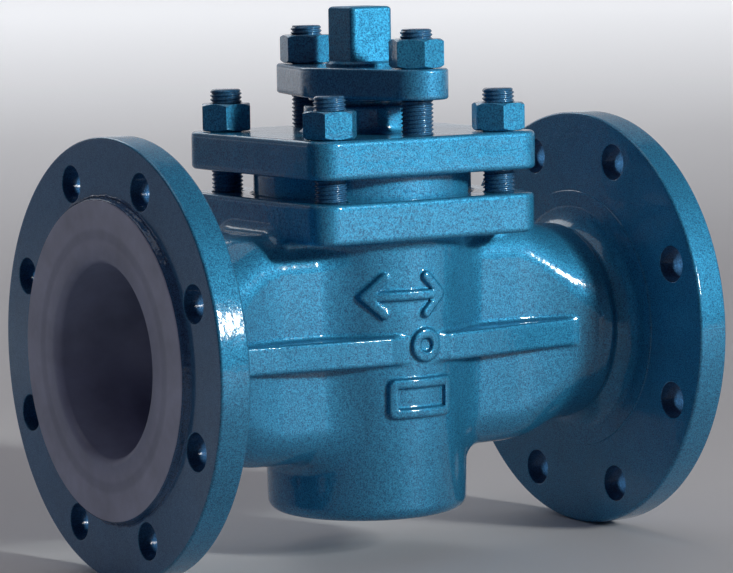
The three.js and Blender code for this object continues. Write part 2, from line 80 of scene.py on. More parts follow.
GAP = 0.3
OVERLAP = 5
OVERSHOOT = 5
body_high = node_box("body_casting")[1]
lining_high = node_box("body_lining")[1]
cover_low, cover_high = node_box("cover")
gland_low, gland_high = node_box("gland_flange")
bush_low, bush_high = node_box("gland_bush")
plug_low, plug_high = node_box("plug_lining")
core_high = node_box("plug_core")[1]

FACE_X = lining_high[0]
RAISED_FACE_X = body_high[0]
FLANGE_FACE_X = RAISED_FACE_X - 1
FLANGE_BACK_X = 130
FLANGE_RADIUS = body_high[1]
LINING_INSET = 0.4
RAISED_FACE_RADIUS = lining_high[1] + LINING_INSET
PIPE_BOLT_CIRCLE_RADIUS = 90
PIPE_BOLT_HOLE_RADIUS = 9
PIPE_BOLT_COUNT = 8

BARREL_BOTTOM_Z = -86
BARREL_FOOT_RADIUS = 50
BARREL_HEAD_RADIUS = 53
BARREL_HEAD_Z = 44
BARREL_FOOT_ROUND = 6
BARREL_FILLET = 8
NECK_STRAIGHT_X = 68
NECK_END_X = 118
NECK_CUT_X = 121
HUB_RADIUS = 46.5
HUB_FACE_RADIUS = 66.5
HUB_FACE_X = 129.2
NECK_HALF_WIDTH = 35.5
NECK_HALF_HEIGHT = 57
NECK_CORNER = 19
NECK_END_RADIUS = 50.6
NECK_END_ROUND = 4.5
NECK_DROP_X = 76
NECK_DROP_LENGTH = 32
HUB_MIDDLE_X = 123
HUB_HALF_LENGTH = 11
HUB_FLANGE_FILLET = 13
HUB_NECK_FILLET = 2.5
FLANGE_MIDDLE_X = 139
TOP_FLANGE_HALF = 65
TOP_FLANGE_CORNER = 12
TOP_FLANGE_LOW_Z = 53.8
TOP_FLANGE_HIGH_Z = 73.6
TOP_FLANGE_FILLET = 6
TOP_STUD_HOLE_Z = (45, 80)
PLATE_ROUND = 2.2
RECESS_RADIUS = 55.5
RECESS_FLOOR_Z = 57.7
RIB_LOW_Z = -8
RIB_HIGH_Z = 6
RIB_ROUND = 1.5
RIB_END_ROUND = 2
RIB_FILLET = 2
RIB_OUTLINE = ((0, 6, 12, 18, 40, 60, 75, 90, 102), (50, 50, 51.8, 53, 50.6, 47.6, 45.4, 43.9, 42.8))

MARK_HEIGHT = 2.5
MARK_ROUND = 1.2
MARK_FILLET = 1.0
ARROW_PLACE = (-9, 26)
RING_PLACE = (2, 1)
TAG_PLACE = (0, -25)

COVER_HALF = cover_high[0]
COVER_LOW_Z = 85.2
COVER_HIGH_Z = 104
COVER_STUD_OFFSET = 49.2
CORNERS = {"left_front": (-1, -1), "right_front": (1, -1), "right_back": (1, 1), "left_back": (-1, 1)}
COVER_STUD_PLACES = {
    name: (x * COVER_STUD_OFFSET, y * COVER_STUD_OFFSET) for name, (x, y) in CORNERS.items()
}
STUFFING_BOX_RADIUS = 28.5
SPIGOT_RADIUS = 54.5
SPIGOT_INNER_RADIUS = 41.3
SPIGOT_CEILING_Z = 73
PACKING_RADIUS = 23
PACKING_FLOOR_Z = 90
GLAND_STUD_OFFSET = 51
GLAND_STUD_PLACES = {"front": (0, -GLAND_STUD_OFFSET), "back": (0, GLAND_STUD_OFFSET)}
GLAND_STUD_HOLE_LOW_Z = 85.7
GLAND_ROUND = 1.6
BUSH_COLLAR_Z = 119.8
GLAND_MIDDLE_RADIUS = gland_high[0]
GLAND_END_RADIUS = gland_high[1] - GLAND_STUD_OFFSET

LINING_WALL = 3.3
LINING_EDGE = 0.7
DISH_DEPTH = 0.3
LINING_SEAL_RADIUS = RECESS_RADIUS - GAP
SEAT_TOP_Z = 61.5
BORE_RADIUS = 47
BORE_LIP = 4
BORE_NECK_RADIUS = 41.5
PORT_HALF_WIDTH = 21.5
PORT_HALF_HEIGHT = 43.5
PORT_CORNER = 12
SEAT_CLEARANCE = 0.4
PLUG_MIDDLE_RADIUS = 39.3
PLUG_TAPER = 0.025
PLUG_LINING_WALL = 3.2
PLUG_FOOT_Z = plug_low[2]
PLUG_HEAD_Z = plug_high[2]
STEM_RADIUS = 17
STEM_TOP_Z = core_high[2]
SQUARE_HALF = 12
SQUARE_FOOT_Z = 139
SQUARE_CORNER = 2.6
SQUARE_RIM = 1.8

STUD_RADIUS = 8
STUD_HOLE_RADIUS = 8.4
THREAD_PITCH = 2.0
THREAD_DEPTH = 0.85
STUD_CHAMFER = 1.6
NUT_ACROSS_FLATS = 24


# ---- solid distance fields

def fillet_union(a, b, radius):
    """Two shapes joined, with a round fillet where they meet."""
    near = np.hypot(np.maximum(radius - a, 0), np.maximum(radius - b, 0))
    return np.maximum(radius, np.minimum(a, b)) - near


def round_common(a, b, radius):
    """What two shapes share, with its edge rounded."""
    near = np.hypot(np.maximum(radius + a, 0), np.maximum(radius + b, 0))
    return np.minimum(-radius, np.maximum(a, b)) + near


def rounded_rectangle(u, v, half_u, half_v, corner):
    """Distance to a rectangle about the origin with rounded corners."""
    out_u = np.abs(u) - half_u + corner
    out_v = np.abs(v) - half_v + corner
    outside = np.hypot(np.maximum(out_u, 0), np.maximum(out_v, 0))
    return outside + np.minimum(np.maximum(out_u, out_v), 0) - corner


def ease(t):
    t = np.clip(t, 0, 1)
    return t * t * (3 - 2 * t)


def segment(u, v, start, end, half_width):
    """Distance to a bar with round ends between two points of a plane."""
    du, dv = end[0] - start[0], end[1] - start[1]
    along = ((u - start[0]) * du + (v - start[1]) * dv) / (du * du + dv * dv)
    along = np.clip(along, 0, 1)
    return np.hypot(u - start[0] - along * du, v - start[1] - along * dv) - half_width


def surface_net(shape, low, high, step):
    """Points and quads of the zero surface of shape(x, y, z), one point in each crossed cell."""
    axes = [np.arange(lo - 2 * step, hi + 2 * step, step) for lo, hi in zip(low, high)]
    field = np.empty([len(axis) for axis in axes], np.float32)
    y = axes[1][None, :, None]
    z = axes[2][None, None, :]
    slab = 12  # layers worked out at once
    for start in range(0, len(axes[0]), slab):
        x = axes[0][start:start + slab][:, None, None]
        field[start:start + slab] = shape(x, y, z)
    inside = field < 0
    corners = [(i, j, k) for i in (0, 1) for j in (0, 1) for k in (0, 1)]
    nx, ny, nz = [n - 1 for n in field.shape]
    count = np.zeros((nx, ny, nz), np.int8)
    for i, j, k in corners:
        count += inside[i:nx + i, j:ny + j, k:nz + k]
    cells = np.argwhere((count > 0) & (count < 8))
    number = np.full(count.shape, -1, np.int32)
    number[tuple(cells.T)] = np.arange(len(cells))

    total = np.zeros((len(cells), 3))
    crossings = np.zeros(len(cells))
    for a in corners:
        for axis in range(3):
            if a[axis]:
                continue
            b = tuple(c + (n == axis) for n, c in enumerate(a))
            value_a = field[tuple((cells + a).T)].astype(float)
            value_b = field[tuple((cells + b).T)].astype(float)
            crossed = (value_a < 0) != (value_b < 0)
            share = np.where(crossed, value_a / np.where(crossed, value_a - value_b, 1), 0)
            point = np.array(a, float) + share[:, None] * (np.array(b) - np.array(a))
            total += np.where(crossed[:, None], point, 0)
            crossings += crossed
    origin = np.array([axis[0] for axis in axes])
    points = origin + (cells + total / crossings[:, None]) * step

    quads = []
    for axis in range(3):
        u, v = (axis + 1) % 3, (axis + 2) % 3
        first = np.moveaxis(inside, axis, 0)[:-1]
        second = np.moveaxis(inside, axis, 0)[1:]
        edges = np.moveaxis(first != second, 0, axis)
        starts = np.argwhere(edges)
        starts = starts[(starts[:, u] > 0) & (starts[:, v] > 0)]
        step_u, step_v = np.eye(3, dtype=int)[u], np.eye(3, dtype=int)[v]
        ring = [starts, starts - step_u, starts - step_u - step_v, starts - step_v]
        quad = np.stack([number[tuple(cell.T)] for cell in ring], axis=1)
        leaving = inside[tuple(starts.T)]
        quad[~leaving] = quad[~leaving][:, ::-1]
        quads.append(quad)
    return settled(points, shape, step), np.concatenate(quads)


def settled(points, shape, step):
    """The points moved onto the exact surface, by two bounded Newton steps."""
    reach = 0.05
    for _ in range(2):
        x, y, z = points.T
        value = shape(x, y, z)
        slope = np.stack([
            shape(x + reach, y, z) - shape(x - reach, y, z),
            shape(x, y + reach, z) - shape(x, y - reach, z),
            shape(x, y, z + reach) - shape(x, y, z - reach),
        ], axis=1) / (2 * reach)
        move = -value[:, None] * slope / np.maximum((slope ** 2).sum(axis=1), 0.25)[:, None]
        length = np.linalg.norm(move, axis=1)
        move *= np.minimum(1, 0.6 * step / np.maximum(length, 1e-9))[:, None]
        points = points + move
    return points


# ---- meshes

def linked(name, data):
    """A new object in the scene."""
    obj = bpy.data.objects.new(name, data)
    bpy.context.scene.collection.objects.link(obj)
    return obj


def new_object(name, points, faces):
    """A mesh object from points in millimetres."""
    mesh = bpy.data.meshes.new(name)
    mesh.from_pydata((np.asarray(points, float) * MM).tolist(), [], faces)
    mesh.validate()
    return linked(name, mesh)


def closed_object(name, points, faces):
    """A closed mesh object with its faces turned outwards."""
    obj = new_object(name, points, faces)
    grid = bmesh.new()
    grid.from_mesh(obj.data)
    bmesh.ops.recalc_face_normals(grid, faces=grid.faces)
    grid.to_mesh(obj.data)
    grid.free()
    return obj


def net_object(name, shape, low, high, step):
    """The zero surface of shape(x, y, z) as a mesh object."""
    points, quads = surface_net(shape, low, high, step)
    mesh = bpy.data.meshes.new(name)
    mesh.vertices.add(len(points))
    mesh.vertices.foreach_set("co", (points * MM).astype(np.float32).ravel())
    mesh.loops.add(quads.size)
    mesh.loops.foreach_set("vertex_index", quads.astype(np.int32).ravel())
    mesh.polygons.add(len(quads))
    mesh.polygons.foreach_set("loop_start", np.arange(0, quads.size, 4, dtype=np.int32))
    mesh.update(calc_edges=True)
    mesh.validate()
    return linked(name, mesh)


def turned(name, profile, steps=96, about="Z", centre=(0, 0)):
    """A solid of revolution. The profile lists (radius, place along the axis) and starts and ends on
    the axis or comes back to its first pair. About Z, centre is its (x, y)."""
    closed = profile[0] == profile[-1] and profile[0][0] > 0
    points, rows = [], []
    for radius, along in profile[:-1] if closed else profile:
        ring = []
        for i in range(1 if radius <= 0 else steps):
            angle = 2 * math.pi * i / steps
            flat = (radius * math.cos(angle), radius * math.sin(angle))
            ring.append(len(points))
            if about == "Z":
                points.append((centre[0] + flat[0], centre[1] + flat[1], along))
            else:
                points.append((along, centre[0] + flat[0], centre[1] + flat[1]))
        rows.append(ring)
    if closed:
        rows.append(rows[0])
    faces = []
    for low, high in zip(rows, rows[1:]):
        for i in range(steps):
            j = (i + 1) % steps
            corner = [low[i % len(low)], low[j % len(low)], high[j % len(high)], high[i % len(high)]]
            face = list(dict.fromkeys(corner))
            if len(face) > 2:
                faces.append(face)
    return closed_object(name, points, faces)


def turned_end(name, profile, sign, steps=192):
    """A solid turned about X at the right end, or mirrored to the left end."""
    return turned(name, [(radius, sign * x) for radius, x in profile], steps, "X")


def quarter(steps):
    """(sine, cosine) of angles from 0 to a right angle."""
    return [(math.sin(angle), math.cos(angle)) for angle in np.linspace(0, math.pi / 2, steps)]


def evaluated(obj):
    """Applies the object's modifiers to its mesh."""
    bpy.context.view_layer.update()
    graph = bpy.context.evaluated_depsgraph_get()
    mesh = bpy.data.meshes.new_from_object(obj.evaluated_get(graph))
    obj.modifiers.clear()
    old, obj.data = obj.data, mesh
    bpy.data.meshes.remove(old)
    mesh.name = obj.name
    return obj


def combined(obj, tools, operation):
    """Cuts or joins the tools, and takes them out of the scene."""
    for tool in tools:
        step = obj.modifiers.new("combine", "BOOLEAN")
        step.operation = operation
        step.solver = "MANIFOLD"
        step.object = tool
    evaluated(obj)
    for tool in tools:
        mesh = tool.data
        bpy.data.objects.remove(tool)
        bpy.data.meshes.remove(mesh)
    return obj


def carved(obj, tools):
    return combined(obj, tools, "DIFFERENCE")


def joined(obj, tools):
    return combined(obj, tools, "UNION")


def mirrored_x(make):
    """The two copies, right and left, of a tool that make(sign) builds."""
    return [make(1), make(-1)]


def bevelled(obj, width, degrees=30, segments=3):
    step = obj.modifiers.new("bevel", "BEVEL")
    step.width = width * MM
    step.segments = segments
    step.limit_method = "ANGLE"
    step.angle_limit = math.radians(degrees)
    return evaluated(obj)


def smooth(obj, degrees=38):
    """Shades smooth, with a crease where two faces meet at more than the angle."""
    mesh = obj.data
    mesh.polygons.foreach_set("use_smooth", np.ones(len(mesh.polygons), bool))
    mesh.set_sharp_from_angle(angle=math.radians(degrees))
    return obj


def weighted(obj):
    """Turns the shading of small bevels towards the large faces beside them."""
    step = obj.modifiers.new("weighted", "WEIGHTED_NORMAL")
    step.keep_sharp = True
    return evaluated(obj)


def ring_quads(rows, count, closed=False):
    """The quads between neighbours in a row of rings of count points each."""
    faces = []
    for row in range(rows if closed else rows - 1):
        here, after = row * count, (row + 1) % rows * count
        for i in range(count):
            j = (i + 1) % count
            faces.append((here + i, here + j, after + j, after + i))
    return faces


def section(x, half_width, half_height, corner):
    """A ring of points in the Y-Z plane: a rectangle with round corners."""
    quarter_steps = 16
    radius = min(corner, half_width - 0.2, half_height - 0.2)
    ring = []
    for quarter in range(4):
        side_y = 1 if quarter in (0, 3) else -1
        side_z = 1 if quarter < 2 else -1
        for step in range(quarter_steps + 1):
            angle = (quarter + step / quarter_steps) * math.pi / 2
            ring.append((
                x,
                side_y * (half_width - radius) + radius * math.cos(angle),
                side_z * (half_height - radius) + radius * math.sin(angle),
            ))
    return ring


def lofted(name, rings):
    """A skin through rings with the same number of points, closed by a cap at each end."""
    count = len(rings[0])
    points = [point for ring in rings for point in ring]
    faces = ring_quads(len(rings), count)
    faces.append(tuple(range(count)))
    faces.append(tuple(range((len(rings) - 1) * count, len(rings) * count)))
    return closed_object(name, points, faces)


# ---- shapes shared by several pieces

FLOW_STATIONS = [
    (0, PORT_HALF_WIDTH, PORT_HALF_HEIGHT, PORT_CORNER),
    (42, PORT_HALF_WIDTH, PORT_HALF_HEIGHT, PORT_CORNER),
    (80, PORT_HALF_WIDTH + 3.5, PORT_HALF_HEIGHT, PORT_CORNER + 6),
    (102, 34.5, 42.6, 30),
    (NECK_END_X, BORE_NECK_RADIUS, BORE_NECK_RADIUS, BORE_NECK_RADIUS),
    (FLANGE_BACK_X, BORE_NECK_RADIUS + 2.6, BORE_NECK_RADIUS + 2.6, BORE_NECK_RADIUS + 2.6),
    (FLANGE_FACE_X, BORE_RADIUS, BORE_RADIUS, BORE_RADIUS),
    (FACE_X + 5, BORE_RADIUS, BORE_RADIUS, BORE_RADIUS),
]


def eased_stations(table):
    """The table's rows with extra rows on a smooth curve between each two."""
    between = 6
    rows = np.array(table, float)
    places = rows[:, 0]
    slopes = np.gradient(rows[:, 1:], places, axis=0)
    dense = []
    for i in range(len(rows) - 1):
        width = places[i + 1] - places[i]
        for k in range(between):
            t = k / between
            start = (1 + 2 * t) * (1 - t) ** 2 * rows[i, 1:] + t * (1 - t) ** 2 * width * slopes[i]
            end = t * t * (3 - 2 * t) * rows[i + 1, 1:] + t * t * (t - 1) * width * slopes[i + 1]
            dense.append((places[i] + t * width, *(start + end)))
    dense.append(tuple(rows[-1]))
    return dense


def flow_way(name, extra):
    """The whole way through the body, grown outwards by extra."""
    right = [(x, w + extra, h + extra, c + extra) for x, w, h, c in eased_stations(FLOW_STATIONS)]
    left = [(-x, w, h, c) for x, w, h, c in right[1:]]
    return lofted(name, [section(*row) for row in left[::-1] + right])


def plug_radius(z):
    """The radius of the plug's tapered side at height z."""
    return PLUG_MIDDLE_RADIUS + PLUG_TAPER * z


def taper(name, extra, low_z, high_z):
    """The tapered plug shape, grown outwards by extra."""
    chamfer = 2
    return turned(name, [
        (0, low_z),
        (plug_radius(low_z) + extra - chamfer, low_z),
        (plug_radius(low_z) + extra, low_z + chamfer),
        (plug_radius(high_z) + extra, high_z),
        (0, high_z),
    ], steps=128)


def plug_port(name, extra):
    """A cutter for the port through the plug."""
    size = (PORT_HALF_WIDTH + extra, PORT_HALF_HEIGHT + extra, PORT_CORNER + extra)
    return lofted(name, [section(-60, *size), section(60, *size)])


def seat(name, extra, high_z=95):
    """The tapered seat that the plug turns in, grown outwards by extra."""
    grow = SEAT_CLEARANCE + extra
    return taper(name, grow, PLUG_FOOT_Z - grow, high_z)


def disc(name, radius, low_z, high_z, steps=96, centre=(0, 0)):
    profile = [(0, low_z), (radius, low_z), (radius, high_z), (0, high_z)]
    return turned(name, profile, steps, centre=centre)


def soft_hole(name, radius, low, high, lip, about="Z", centre=(0, 0), steps=48):
    """A cutter for a hole whose two mouths, at low and high, are rounded by lip."""
    wide, foot, head = radius + 1.6 * lip, low - OVERSHOOT, high + OVERSHOOT
    profile = [(0, foot), (wide, foot), (wide, low - 0.3 * lip)]
    arc = [(1 - cosine, sine) for sine, cosine in quarter(5)[::-1]]
    profile += [(radius + lip * out, low + lip * (1 - along)) for out, along in arc]
    profile += [(radius + lip * out, high - lip * (1 - along)) for out, along in arc[::-1]]
    profile += [(wide, high + 0.3 * lip), (wide, head), (0, head)]
    return turned(name, profile, steps, about, centre)


# ---- body casting

def flow_arrow(u, v):
    """A double-headed arrow, cast proud to show that flow may go either way."""
    half_length, head, stroke = 20, 9, 2.1
    far_u, far_v = np.abs(u), np.abs(v)
    shaft = segment(far_u, far_v, (0, 0), (half_length, 0), stroke)
    return np.minimum(shaft, segment(far_u, far_v, (half_length, 0), (half_length - head, head), stroke))


def ring_mark(u, v):
    radius, stroke = 5.8, 2.2
    return np.abs(np.hypot(u, v) - radius) - stroke


def blank_tag(u, v):
    """An empty cast frame where a plate could go."""
    half_width, half_height, corner, stroke = 18, 9.5, 3.5, 2.1
    outer = rounded_rectangle(u, v, half_width, half_height, corner)
    return np.abs(outer + stroke) - stroke


def body_marks(x, z):
    """Raised signs on the front of the barrel, as seen from the front."""
    marks = flow_arrow(x - ARROW_PLACE[0], z - ARROW_PLACE[1])
    marks = np.minimum(marks, ring_mark(x - RING_PLACE[0], z - RING_PLACE[1]))
    return np.minimum(marks, blank_tag(x - TAG_PLACE[0], z - TAG_PLACE[1]))


def body_shape(x, y, z):
    """Distance to the body casting before its faces, holes and flow way are cut."""
    far_x, far_y = np.abs(x), np.abs(y)
    spread = np.clip((far_x - NECK_STRAIGHT_X) / (NECK_END_X - NECK_STRAIGHT_X), 0, 1)
    half_width = NECK_HALF_WIDTH + (NECK_END_RADIUS - NECK_HALF_WIDTH) * spread ** 1.7
    drop = ease((far_x - NECK_DROP_X) / NECK_DROP_LENGTH)
    half_height = NECK_HALF_HEIGHT - (NECK_HALF_HEIGHT - NECK_END_RADIUS) * drop
    corner = NECK_CORNER + (NECK_END_RADIUS - NECK_CORNER) * spread ** 1.4
    corner = np.minimum(corner, np.minimum(half_width, half_height))
    neck = rounded_rectangle(y, z, half_width, half_height, corner)
    neck = round_common(neck, far_x - NECK_CUT_X, NECK_END_ROUND)
    hub = np.maximum(np.hypot(y, z) - HUB_RADIUS, np.abs(far_x - HUB_MIDDLE_X) - HUB_HALF_LENGTH)

    from_axis = np.hypot(x, y)
    slope = (BARREL_HEAD_RADIUS - BARREL_FOOT_RADIUS) / (BARREL_HEAD_Z - BARREL_BOTTOM_Z)
    barrel_wall = from_axis - BARREL_FOOT_RADIUS - slope * (z - BARREL_BOTTOM_Z)
    barrel = round_common(barrel_wall, BARREL_BOTTOM_Z - z, BARREL_FOOT_ROUND)
    barrel = np.maximum(barrel, z - TOP_FLANGE_HIGH_Z + OVERLAP)
    shape = fillet_union(neck, barrel, BARREL_FILLET)

    rib_reach = np.interp(far_x, *RIB_OUTLINE)
    rib_middle = (RIB_LOW_Z + RIB_HIGH_Z) / 2
    rib_half = (RIB_HIGH_Z - RIB_LOW_Z) / 2
    rib = round_common(far_y - rib_reach, np.abs(z - rib_middle) - rib_half, RIB_ROUND)
    rib = round_common(rib, far_x - RIB_OUTLINE[0][-1], RIB_END_ROUND)
    shape = fillet_union(shape, rib, RIB_FILLET)

    marks = round_common(barrel_wall - MARK_HEIGHT, body_marks(x, z) - 0.3, MARK_ROUND)
    marks = np.maximum(marks, y)
    shape = fillet_union(shape, marks, MARK_FILLET)

    flange = np.abs(far_x - FLANGE_MIDDLE_X) - (FLANGE_MIDDLE_X - HUB_FACE_X)
    flange = np.maximum(np.hypot(y, z) - FLANGE_RADIUS, flange)
    shape = fillet_union(shape, fillet_union(hub, flange, HUB_FLANGE_FILLET), HUB_NECK_FILLET)

    plate_half = (TOP_FLANGE_HIGH_Z - TOP_FLANGE_LOW_Z) / 2
    plate = round_common(
        rounded_rectangle(x, y, TOP_FLANGE_HALF, TOP_FLANGE_HALF, TOP_FLANGE_CORNER),
        np.abs(z - TOP_FLANGE_HIGH_Z + plate_half) - plate_half,
        PLATE_ROUND,
    )
    return fillet_union(shape, plate, TOP_FLANGE_FILLET)


def flange_facer(sign):
    """Turns one pipe flange's face flat, with its low raised step and a soft rim."""
    rim, outside, end = 1.2, FLANGE_RADIUS + 8, 160
    profile = [(0, RAISED_FACE_X), (RAISED_FACE_RADIUS - 0.3, RAISED_FACE_X)]
    profile += [(RAISED_FACE_RADIUS, RAISED_FACE_X - 0.3), (RAISED_FACE_RADIUS + 0.4, FLANGE_FACE_X)]
    for sine, cosine in quarter(5):
        profile.append((FLANGE_RADIUS - rim + rim * sine, FLANGE_FACE_X - rim + rim * cosine))
    profile += [(outside, FLANGE_FACE_X - rim), (outside, end), (0, end)]
    return turned_end("facer", profile, sign)


def flange_back_facer(sign):
    """Turns the back of one pipe flange flat outside its hub, and leaves a fine step and a soft rim."""
    rim, outside, start = 1.6, FLANGE_RADIUS + 8, 110
    profile = [(HUB_FACE_RADIUS, start), (HUB_FACE_RADIUS, FLANGE_BACK_X - 0.3)]
    profile.append((HUB_FACE_RADIUS + 0.3, FLANGE_BACK_X))
    for sine, cosine in quarter(6):
        profile.append((FLANGE_RADIUS - rim + rim * sine, FLANGE_BACK_X + rim - rim * cosine))
    profile += [(outside, FLANGE_BACK_X + rim), (outside, start), (HUB_FACE_RADIUS, start)]
    return turned_end("back_facer", profile, sign)


def pipe_bolt_holes():
    """Cutters for the bolt holes of both pipe flanges."""
    holes = []
    for sign in (-1, 1):
        ends = sorted((sign * FLANGE_BACK_X, sign * FLANGE_FACE_X))
        for i in range(PIPE_BOLT_COUNT):
            angle = (i + 0.5) / PIPE_BOLT_COUNT * 2 * math.pi
            place = (PIPE_BOLT_CIRCLE_RADIUS * math.cos(angle), PIPE_BOLT_CIRCLE_RADIUS * math.sin(angle))
            holes.append(soft_hole("hole", PIPE_BOLT_HOLE_RADIUS, *ends, 0.7, "X", place))
    return holes


def inside_bolt_holes(x, y, z):
    """True for places on the walls of the pipe bolt holes."""
    turn = 2 * math.pi / PIPE_BOLT_COUNT
    angle = (np.arctan2(z, y) % turn) - turn / 2
    from_centre = np.hypot(
        np.hypot(y, z) * np.cos(angle) - PIPE_BOLT_CIRCLE_RADIUS,
        np.hypot(y, z) * np.sin(angle),
    )
    return (from_centre < PIPE_BOLT_HOLE_RADIUS + 0.25) & (np.abs(x) > FLANGE_BACK_X - 1)


def on_machined_face(x, y, z):
    """True for places on the flat faces of the pipe flanges."""
    return (np.abs(np.abs(x) - FLANGE_FACE_X) < 0.05) & (np.hypot(y, z) > RAISED_FACE_RADIUS)


def paint_where(obj, paint, test):
    """Gives another material to the faces whose middles pass the test."""
    obj.data.materials.append(paint)
    faces = obj.data.polygons
    middles = np.empty(len(faces) * 3, np.float32)
    faces.foreach_get("center", middles)
    index = np.empty(len(faces), np.int32)
    faces.foreach_get("material_index", index)
    x, y, z = middles.reshape(-1, 3).T / MM
    index[test(x, y, z)] = len(obj.data.materials) - 1
    faces.foreach_set("material_index", index)


def make_body(step):
    """The body casting, machined and bored for its lining."""
    low = (-FLANGE_FACE_X - 3, -FLANGE_RADIUS, -FLANGE_RADIUS)
    high = (FLANGE_FACE_X + 3, FLANGE_RADIUS, FLANGE_RADIUS)
    body = net_object("body", body_shape, low, high, step)
    wall = LINING_WALL + GAP
    recess = [(0, RECESS_FLOOR_Z), (RECESS_RADIUS, RECESS_FLOOR_Z)]
    recess += [(RECESS_RADIUS, TOP_FLANGE_HIGH_Z - 1), (RECESS_RADIUS + 3, TOP_FLANGE_HIGH_Z + 2)]
    recess += [(0, TOP_FLANGE_HIGH_Z + 2)]
    tools = mirrored_x(flange_facer) + mirrored_x(flange_back_facer) + pipe_bolt_holes()
    tools += [flow_way("way", wall), seat("seat", wall), turned("recess", recess)]
    for place in COVER_STUD_PLACES.values():
        tools.append(disc("stud_hole", STUD_HOLE_RADIUS, *TOP_STUD_HOLE_Z, 32, place))
    return weighted(smooth(carved(body, tools)))


# ---- lining and plug

def lined_face(sign):
    """The lining's raised face with its shallow dish around the bore."""
    radius, edge = RAISED_FACE_RADIUS - LINING_INSET, LINING_EDGE
    profile = [(0, RAISED_FACE_X + GAP), (radius, RAISED_FACE_X + GAP)]
    for sine, cosine in quarter(5):
        profile.append((radius - edge + edge * cosine, FACE_X - edge + edge * sine))
    profile += [(66, FACE_X), (64.5, FACE_X - 0.25), (58, FACE_X - 0.35)]
    profile += [(BORE_RADIUS + 6, FACE_X - DISH_DEPTH), (0, FACE_X - DISH_DEPTH)]
    return turned_end("face", profile, sign)


def bore_mouth(sign):
    """A cutter that rounds the mouth of the lined bore."""
    start = FACE_X - BORE_LIP - 2
    profile = [(0, start), (BORE_RADIUS - 0.5, start)]
    for sine, cosine in quarter(9):
        x = FACE_X - DISH_DEPTH - BORE_LIP * (1 - sine)
        profile.append((BORE_RADIUS + BORE_LIP * (1 - cosine), x))
    profile += [(BORE_RADIUS + BORE_LIP, FACE_X + 5), (0, FACE_X + 5)]
    return turned_end("mouth", profile, sign)


def end_trim(sign):
    """A cutter that ends the lining's tube inside its raised face."""
    start, end, radius = RAISED_FACE_X + 1.5, 170, 90
    return turned_end("trim", [(0, start), (radius, start), (radius, end), (0, end)], sign, 64)


def make_body_lining():
    """The moulding in the body: seat, bore, collar and the raised face at each end."""
    lining = seat("lining", LINING_WALL, SEAT_TOP_Z)
    collar = disc("collar", LINING_SEAL_RADIUS, RECESS_FLOOR_Z + GAP, SEAT_TOP_Z, 128)
    way = carved(flow_way("way", LINING_WALL), mirrored_x(end_trim))
    joined(lining, [way, collar] + mirrored_x(lined_face))
    carved(lining, [flow_way("bore", 0), seat("inside", 0)] + mirrored_x(bore_mouth))
    return weighted(smooth(lining, 30))


def wander(angle, seed):
    """A smooth irregular curve round a circle, between about -1 and 1."""
    total = np.zeros(len(angle))
    for k, waves in enumerate((9, 17, 29, 43, 67, 97)):
        total += math.sin(seed * (k + 1.7)) * np.sin(waves * angle + seed * (k + 1) * 2.3) / (1 + 0.35 * k)
    return total * 0.55


def make_rim_paint(name, sign):
    """The paint that has run up the edge of the lining's raised face, in an uneven band."""
    steps = 360
    angle = np.arange(steps) / steps * 2 * math.pi
    top, foot, swell = wander(angle, 1.3 + sign), wander(angle, 4.1 + sign), wander(angle, 7.7 + sign)
    level, inner = np.zeros(steps), lining_high[1]
    section_rows = [
        (0.02 + level, FACE_X - 0.35 + 0.12 * top),
        (0.35 + 0.1 * swell, FACE_X - 0.6 + 0.15 * top),
        (0.65 + 0.2 * swell, FACE_X - 1.6 + 0.15 * top),
        (1.0 + 0.25 * swell, FLANGE_FACE_X + 0.8 + level),
        (1.4 + 0.3 * foot, FLANGE_FACE_X + 0.3 + 0.1 * swell),
        (1.9 + 0.4 * foot, FLANGE_FACE_X + 0.6 + 0.2 * swell),
        (2.3 + 0.4 * foot, FLANGE_FACE_X + 0.3 + 0.1 * top),
        (2.6 + 0.6 * foot, FLANGE_FACE_X + 0.02 + level),
        (2.6 + 0.6 * foot, FLANGE_FACE_X - 0.2 + level),
        (0.02 + level, FLANGE_FACE_X - 0.2 + level),
    ]
    points = []
    for out, x in section_rows:
        radius = inner + out
        points += np.stack([sign * x, radius * np.cos(angle), radius * np.sin(angle)], axis=1).tolist()
    return smooth(closed_object(name, points, ring_quads(len(section_rows), steps, closed=True)), 50)


def make_plug_lining():
    """The sheath moulded over the plug and through its port."""
    lining = taper("plug_sheath", 0, PLUG_FOOT_Z, PLUG_HEAD_Z)
    core = taper(
        "core", GAP - PLUG_LINING_WALL, PLUG_FOOT_Z + PLUG_LINING_WALL, PLUG_HEAD_Z - PLUG_LINING_WALL,
    )
    carved(core, [plug_port("wall", PLUG_LINING_WALL)])
    neck = disc("neck", STEM_RADIUS + GAP, PLUG_HEAD_Z - 6, PLUG_HEAD_Z + 6)
    carved(lining, [plug_port("port", 0), core, neck])
    return smooth(bevelled(lining, 0.7, 40), 30)


def make_plug():
    """The metal plug with its stem and square."""
    wall = GAP + PLUG_LINING_WALL
    plug = taper("plug", -wall, PLUG_FOOT_Z + wall, PLUG_HEAD_Z - wall)
    carved(plug, [plug_port("port", wall)])
    stem = turned("stem", [
        (0, PLUG_HEAD_Z - wall - 5),
        (STEM_RADIUS, PLUG_HEAD_Z - wall - 5),
        (STEM_RADIUS, SQUARE_FOOT_Z - 1.2),
        (STEM_RADIUS - 1.2, SQUARE_FOOT_Z),
        (0, SQUARE_FOOT_Z),
    ], 128)
    return weighted(smooth(joined(plug, [stem, stem_square()]), 35))


